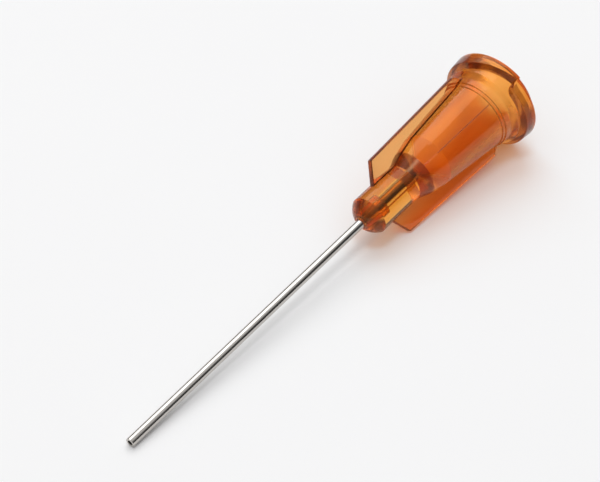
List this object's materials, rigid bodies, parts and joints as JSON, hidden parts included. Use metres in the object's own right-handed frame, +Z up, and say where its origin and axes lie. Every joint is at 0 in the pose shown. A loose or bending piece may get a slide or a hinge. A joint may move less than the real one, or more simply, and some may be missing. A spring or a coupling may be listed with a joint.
{
  "type": "dispensing needle tip",
  "caption": "Blunt dispensing needle tip: a straight steel cannula bonded into a clear amber hub with a tapered socket, locking lugs and flat finger wings.",
  "frame": {"origin": "middle of the part's footprint, on the table that it lies on", "axes": "+X along the cannula towards the hub's open rear end, +Z up, +Y away from the side on which the lower wing touches the table"},
  "size_m": [0.0424, 0.0078, 0.0078],
  "materials": {
    "hub_plastic": "clear amber moulded plastic, polished",
    "steel": "bright drawn stainless tube",
    "adhesive": "cured clear adhesive, tinted by the hub round it"
  },
  "bodies": {
    "root": {"hub": "hub_plastic", "cannula": "steel", "adhesive": "adhesive"}
  },
  "joints": []
}
